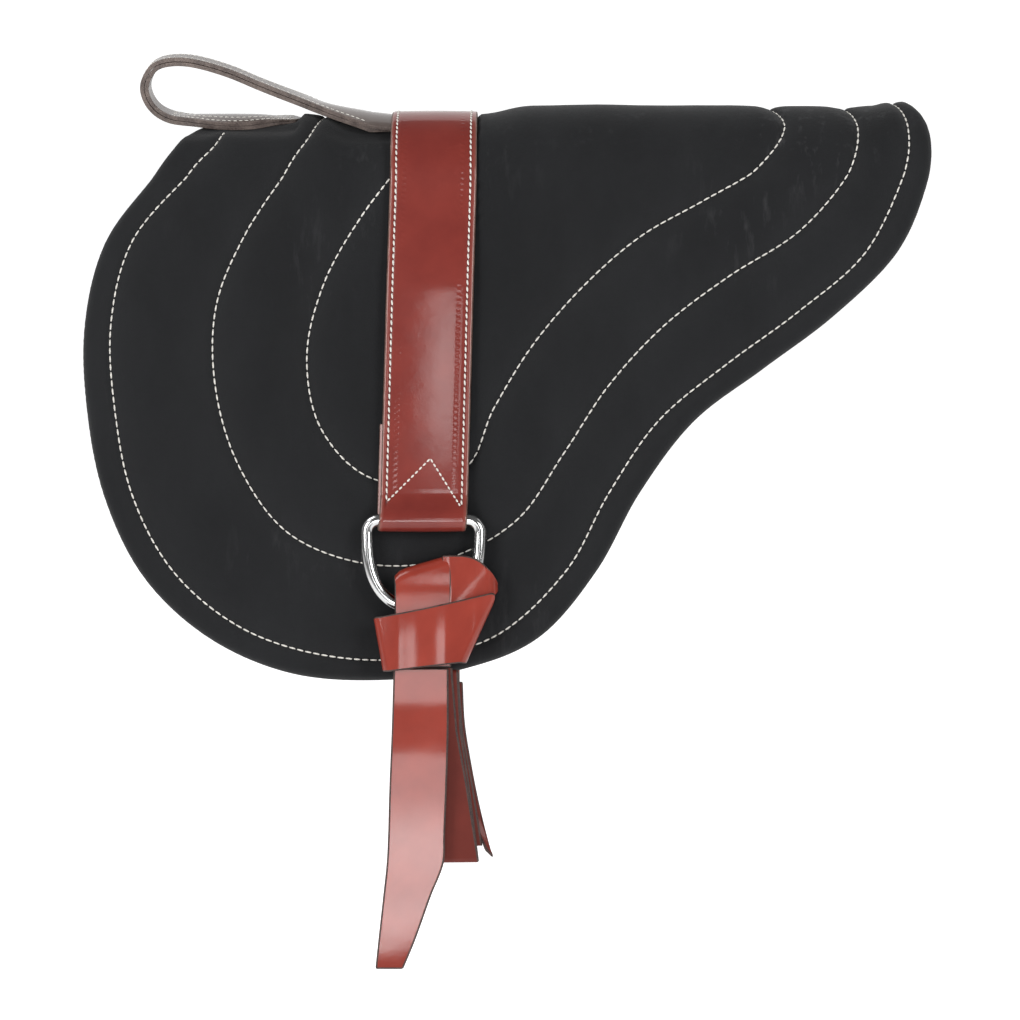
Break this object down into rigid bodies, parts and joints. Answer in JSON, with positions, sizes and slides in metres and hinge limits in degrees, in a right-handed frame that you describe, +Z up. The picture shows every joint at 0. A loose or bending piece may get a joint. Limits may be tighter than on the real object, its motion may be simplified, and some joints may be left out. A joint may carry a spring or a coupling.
{
  "type": "bareback pad",
  "caption": "Quilted pad draped over a horse's back, with a surcingle strap, D rings, a tied latigo, a punched billet and a grab handle.",
  "frame": {"origin": "underside of the lining on the spine, below the middle of the surcingle", "axes": "+X towards the horse's tail, -Y towards its near (left) side, +Z up"},
  "size_m": [0.6673, 0.4195, 0.6908],
  "materials": {
    "nubuck": "matt nubuck",
    "core_felt": "felt",
    "lining_felt": "felt",
    "strap_leather": "glossy bridle leather",
    "latigo_leather": "waxed latigo leather",
    "handle_leather": "oiled leather",
    "ring_steel": "polished"
  },
  "bodies": {
    "pad": {"nubuck_cover": "nubuck", "felt_core": "core_felt", "felt_lining": "lining_felt", "surcingle_outer_ply": "strap_leather", "surcingle_backing_ply": "strap_leather", "handle_outer_ply": "handle_leather", "handle_inner_ply": "handle_leather"},
    "near_strap": {"near_strap_outer_ply": "strap_leather", "near_strap_backing_ply": "strap_leather"},
    "near_ring": {"near_d_ring": "ring_steel", "near_latigo_hitch": "latigo_leather", "near_latigo_cross_wrap": "latigo_leather", "near_latigo_band": "latigo_leather"},
    "near_bundle": {"near_latigo_folds": "latigo_leather", "near_latigo_point": "latigo_leather"},
    "near_tail": {"near_latigo_tail": "latigo_leather"},
    "off_strap": {"off_strap_outer_ply": "strap_leather", "off_strap_backing_ply": "strap_leather"},
    "off_ring": {"off_d_ring": "ring_steel", "off_billet_loop": "latigo_leather"},
    "off_billet": {"off_billet": "latigo_leather"}
  },
  "joints": [
    {"name": "near_strap_lift", "type": "hinge", "parent": "pad", "child": "near_strap", "pos_m": [-0.00237, -0.09153, -0.11495], "axis": [-1, 0, 0], "range_deg": [0, 55]},
    {"name": "near_ring_swing", "type": "hinge", "parent": "near_strap", "child": "near_ring", "pos_m": [-0.007, -0.13409, -0.29088], "axis": [-1, 0, 0], "range_deg": [0, 90]},
    {"name": "near_bundle_swing", "type": "hinge", "parent": "near_ring", "child": "near_bundle", "pos_m": [-0.007, -0.16821, -0.4], "axis": [-1, 0, 0], "range_deg": [0, 40]},
    {"name": "near_tail_lift", "type": "hinge", "parent": "near_bundle", "child": "near_tail", "pos_m": [-0.007, -0.16821, -0.4], "axis": [-1, 0, 0], "range_deg": [0, 45]},
    {"name": "off_strap_lift", "type": "hinge", "parent": "pad", "child": "off_strap", "pos_m": [-0.00237, 0.09153, -0.11495], "axis": [1, 0, 0], "range_deg": [0, 55]},
    {"name": "off_ring_swing", "type": "hinge", "parent": "off_strap", "child": "off_ring", "pos_m": [-0.007, 0.13409, -0.29088], "axis": [1, 0, 0], "range_deg": [0, 90]},
    {"name": "off_billet_swing", "type": "hinge", "parent": "off_ring", "child": "off_billet", "pos_m": [-0.007, 0.16687, -0.44085], "axis": [1, 0, 0], "range_deg": [0, 60]}
  ]
}
